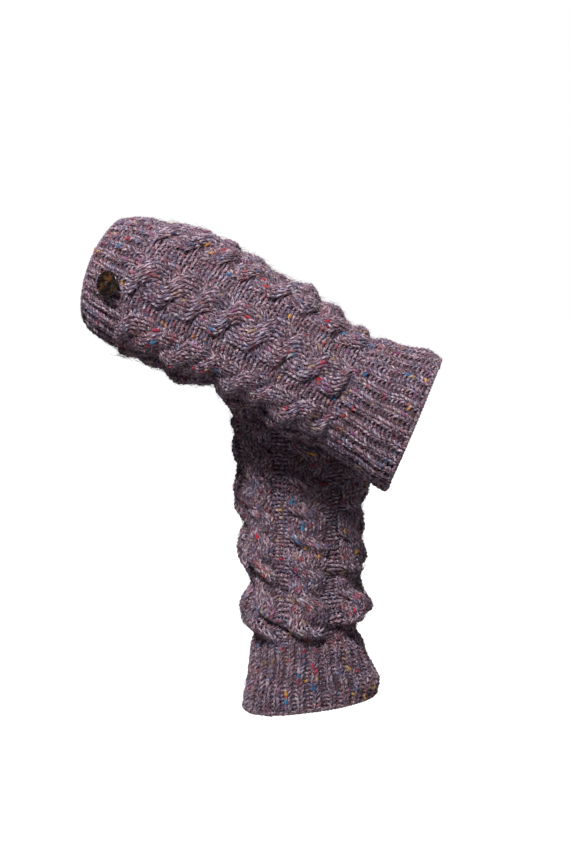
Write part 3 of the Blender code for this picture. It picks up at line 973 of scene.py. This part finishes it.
def shell_material():
    """Polished dark coconut shell: brown-black mottling and a red-brown patch, with pale specks painted on
    as glints.
    """
    material, nodes = new_material("coconut_shell", SHELL_STOPS[1][1])
    place = nodes.add("ShaderNodeTexCoord").outputs["Object"]
    mottle = nodes.noise(place, SHELL_SCALE, 5.0, 0.6)
    base = nodes.ramp(mottle.outputs["Fac"], SHELL_STOPS)
    # Pale specks painted in at half strength as glints on the shell
    glint_noise = nodes.noise(place, GLINT_SCALE, 2.0, 0.5)
    painted_glints = nodes.math("GREATER_THAN", glint_noise.outputs["Fac"], GLINT_LIMIT)
    colour = nodes.mix(nodes.math("MULTIPLY", painted_glints, 0.5), base, SHELL_PAINTED_GLINT)
    shader = nodes.add("ShaderNodeBsdfPrincipled")
    shader.inputs["Roughness"].default_value = 0.4
    shader.inputs["Specular IOR Level"].default_value = 0.12
    shader.inputs["Coat Weight"].default_value = 0.6
    shader.inputs["Coat Roughness"].default_value = 0.05
    nodes.join(colour, shader.inputs["Base Color"])
    bump = nodes.add("ShaderNodeBump")
    bump.inputs["Strength"].default_value = 0.5
    bump.inputs["Distance"].default_value = 0.25 * MM
    nodes.join(mottle.outputs["Fac"], bump.inputs["Height"])
    nodes.join(bump.outputs["Normal"], shader.inputs["Normal"])
    output = nodes.add("ShaderNodeOutputMaterial")
    nodes.join(shader.outputs["BSDF"], output.inputs["Surface"])
    return material


def thread_material():
    """The dark sewing thread of the buttons."""
    material, nodes = new_material("sewing_thread", THREAD_COLOUR)
    place = nodes.add("ShaderNodeTexCoord").outputs["Object"]
    strand = nodes.noise(place, THREAD_GRAIN, 1.0)
    dark = tuple(0.5 * part for part in THREAD_COLOUR)
    colour = nodes.ramp(strand.outputs["Fac"], ((0.3, dark), (0.7, THREAD_COLOUR)))
    shader = nodes.add("ShaderNodeBsdfPrincipled")
    shader.inputs["Roughness"].default_value = 0.6
    nodes.join(colour, shader.inputs["Base Color"])
    output = nodes.add("ShaderNodeOutputMaterial")
    nodes.join(shader.outputs["BSDF"], output.inputs["Surface"])
    return material


def button_profile():
    """Radius and height of the turned face, rim and back of a button, from its middle outwards."""
    half = 0.5 * BUTTON_THICKNESS
    flat = BUTTON_RADIUS - half
    dish_edge = BUTTON_RADIUS - BUTTON_RIM
    face = [
        (dish_edge * step / FACE_STEPS, half - BUTTON_DISH * (1.0 - (step / FACE_STEPS) ** 2) ** 2)
        for step in range(FACE_STEPS + 1)
    ]
    crest = [
        (flat + half * math.sin(angle), half * math.cos(angle))
        for angle in (math.pi * step / CREST_STEPS for step in range(1, CREST_STEPS))
    ]
    midway, centre = BUTTON_BULGE
    back = [(flat, -half), (0.5 * BUTTON_RADIUS, -half - midway), (0.0, -half - centre)]
    return face + crest + back


def sewn_button(tube, materials):
    """A turned two-hole button with the thread that sews it down."""
    build = bmesh.new()
    profile = [build.verts.new((radius * MM, 0.0, height * MM)) for radius, height in button_profile()]
    edges = [build.edges.new(pair) for pair in zip(profile, profile[1:])]
    bmesh.ops.spin(
        build, geom=profile + edges, cent=(0.0, 0.0, 0.0), axis=(0.0, 0.0, 1.0),
        angle=2.0 * math.pi, steps=BUTTON_SEGMENTS, use_merge=True,
    )
    bmesh.ops.remove_doubles(build, verts=build.verts, dist=0.01 * MM)
    bmesh.ops.recalc_face_normals(build, faces=build.faces)
    disc = add_mesh("button_disc", build)
    cutters = []
    for side in (-1.0, 1.0):
        drill = bmesh.new()
        bmesh.ops.create_cone(
            drill, cap_ends=True, segments=20, radius1=BUTTON_HOLE * MM, radius2=BUTTON_HOLE * MM,
            depth=4.0 * BUTTON_THICKNESS * MM,
            matrix=Matrix.Translation((side * BUTTON_HOLE_OFFSET * MM, 0.0, 0.0)),
        )
        cutters.append(add_mesh("button_drill", drill))
        cut = disc.modifiers.new("hole", "BOOLEAN")
        cut.object = cutters[-1]
    depsgraph = bpy.context.evaluated_depsgraph_get()
    mesh = bpy.data.meshes.new_from_object(disc.evaluated_get(depsgraph))
    for spare in (disc, *cutters):
        bpy.data.objects.remove(spare)
    lift = RIB_RELIEF + BUTTON_CLEAR + 0.5 * BUTTON_THICKNESS
    seat = tube.frame(BUTTON_BELOW_RIM, tube.button_turn, lift)
    seat = seat @ Matrix.Rotation(-math.radians(BUTTON_TILT), 4, "X")
    mesh.transform(seat)
    button = bpy.data.objects.new(f"{tube.name}_shell_button", mesh)
    bpy.context.scene.collection.objects.link(button)
    finished(button, materials["shell"])
    mesh.set_sharp_from_angle(angle=math.radians(40.0))
    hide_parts(f"{tube.name}_button")
    stitches = []
    for strand in range(THREAD_STRANDS):
        aside = (strand - 0.5 * (THREAD_STRANDS - 1)) * THREAD_SPACING
        angles = np.linspace(0.0, math.pi, THREAD_POINTS)
        across = -BUTTON_HOLE_OFFSET * np.cos(angles)
        top = 0.5 * BUTTON_THICKNESS - BUTTON_DISH + THREAD_RADIUS
        height = top - THREAD_DROP * np.maximum(THREAD_TURNS_IN - np.sin(angles), 0.0)
        local = np.column_stack((across, np.full(THREAD_POINTS, aside), height)) * MM
        stitches.append(np.array([seat @ Vector(point) for point in local]))
    thread = curve_mesh(f"{tube.name}_button_thread", stitches, False, profile=materials["thread_profile"])
    finished(thread, materials["thread"])


def add_mesh(name, build):
    """A new object in the scene with the mesh that a bmesh holds."""
    mesh = bpy.data.meshes.new(name)
    build.to_mesh(mesh)
    build.free()
    piece = bpy.data.objects.new(name, mesh)
    bpy.context.scene.collection.objects.link(piece)
    return piece


def round_profile(name, radius, sides):
    """A small round outline that threads and yarn are swept with."""
    curve = bpy.data.curves.new(name, "CURVE")
    spline = curve.splines.new("POLY")
    spline.points.add(sides - 1)
    spline.use_cyclic_u = True
    for side, point in enumerate(spline.points):
        angle = 2.0 * math.pi * side / sides
        point.co = (radius * MM * math.cos(angle), radius * MM * math.sin(angle), 0.0, 1.0)
    profile = bpy.data.objects.new(name, curve)
    bpy.context.scene.collection.objects.link(profile)
    profile.hide_render = True
    return profile


def leg_warmer(tube, profile, materials):
    """One whole leg warmer: its ground cloth, knitting, halo and button."""
    ground = ground_cloth(tube, materials["ground"])
    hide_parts(*(f"{tube.name}_{part}" for part in ("top_cuff", "leg", "bottom_cuff")))
    yarn = knitting(tube, profile, materials)
    loose = halo(tube, materials["halo"])
    sewn_button(tube, materials)


def area_light(name, place, aim, size, power, colour):
    """A soft rectangular light that looks at a point."""
    light = bpy.data.lights.new(name, "AREA")
    light.shape = "RECTANGLE"
    light.size, light.size_y = size
    light.energy = power
    light.color = colour
    lamp = bpy.data.objects.new(name, light)
    lamp.location = place
    lamp.rotation_euler = (Vector(aim) - Vector(place)).to_track_quat("-Z", "Y").to_euler()
    bpy.context.scene.collection.objects.link(lamp)


def studio():
    """A pale floor, a bright surround, soft lights and the camera."""
    build = bmesh.new()
    bmesh.ops.create_grid(
        build, x_segments=1, y_segments=1, size=6.0, matrix=Matrix.Translation((0.0, 0.0, FLOOR_LEVEL))
    )
    floor = add_mesh("studio_floor", build)
    material, nodes = new_material("pale_floor", FLOOR_COLOUR)
    shader = nodes.add("ShaderNodeBsdfPrincipled")
    shader.inputs["Base Color"].default_value = (*FLOOR_COLOUR, 1.0)
    shader.inputs["Roughness"].default_value = 0.9
    seen = nodes.add("ShaderNodeLightPath").outputs["Is Camera Ray"]
    shader.inputs["Emission Color"].default_value = (1.0, 1.0, 1.0, 1.0)
    nodes.join(nodes.math("MULTIPLY", seen, FLOOR_GLOW), shader.inputs["Emission Strength"])
    output = nodes.add("ShaderNodeOutputMaterial")
    nodes.join(shader.outputs["BSDF"], output.inputs["Surface"])
    floor.data.materials.append(material)
    world = bpy.data.worlds.new("bright_surround")
    bpy.context.scene.world = world
    world.use_nodes = True
    nodes = Nodes(world.node_tree)
    seen = nodes.add("ShaderNodeLightPath").outputs["Is Camera Ray"]
    strength = nodes.math("MULTIPLY", seen, SURROUND_WHITE - SURROUND_STRENGTH)
    background = nodes.add("ShaderNodeBackground")
    background.inputs["Color"].default_value = (1.0, 1.0, 1.0, 1.0)
    nodes.join(nodes.math("ADD", strength, SURROUND_STRENGTH), background.inputs["Strength"])
    output = nodes.add("ShaderNodeOutputWorld")
    nodes.join(background.outputs["Background"], output.inputs["Surface"])
    for light in STUDIO_LIGHTS:
        area_light(*light)
    camera_data = bpy.data.cameras.new("photo_camera")
    camera_data.sensor_fit = "HORIZONTAL"
    camera_data.sensor_width = SENSOR_WIDTH
    camera_data.lens = CAMERA_PIXELS / FRAME_WIDTH * SENSOR_WIDTH
    camera = bpy.data.objects.new("photo_camera", camera_data)
    camera.location = CAMERA_PLACE
    camera.rotation_euler = (math.radians(90.0 - CAMERA_TILT), 0.0, 0.0)
    bpy.context.scene.collection.objects.link(camera)
    bpy.context.scene.camera = camera
    bpy.context.scene.view_settings.view_transform = "Standard"


def main():
    heather = heather_group()
    materials = {
        "yarn": yarn_material(heather),
        "ground": ground_material(heather),
        "halo": halo_material(heather),
        "shell": shell_material(),
        "thread": thread_material(),
        "thread_profile": round_profile("thread_profile", THREAD_RADIUS, 6),
    }
    profile = round_profile("yarn_profile", YARN_RADIUS, YARN_SIDES)
    leg_warmer(STANDING, profile, materials)
    leg_warmer(LIFTED, profile, materials)
    studio()
    for spare in (profile, materials["thread_profile"]):
        bpy.data.objects.remove(spare)


main()
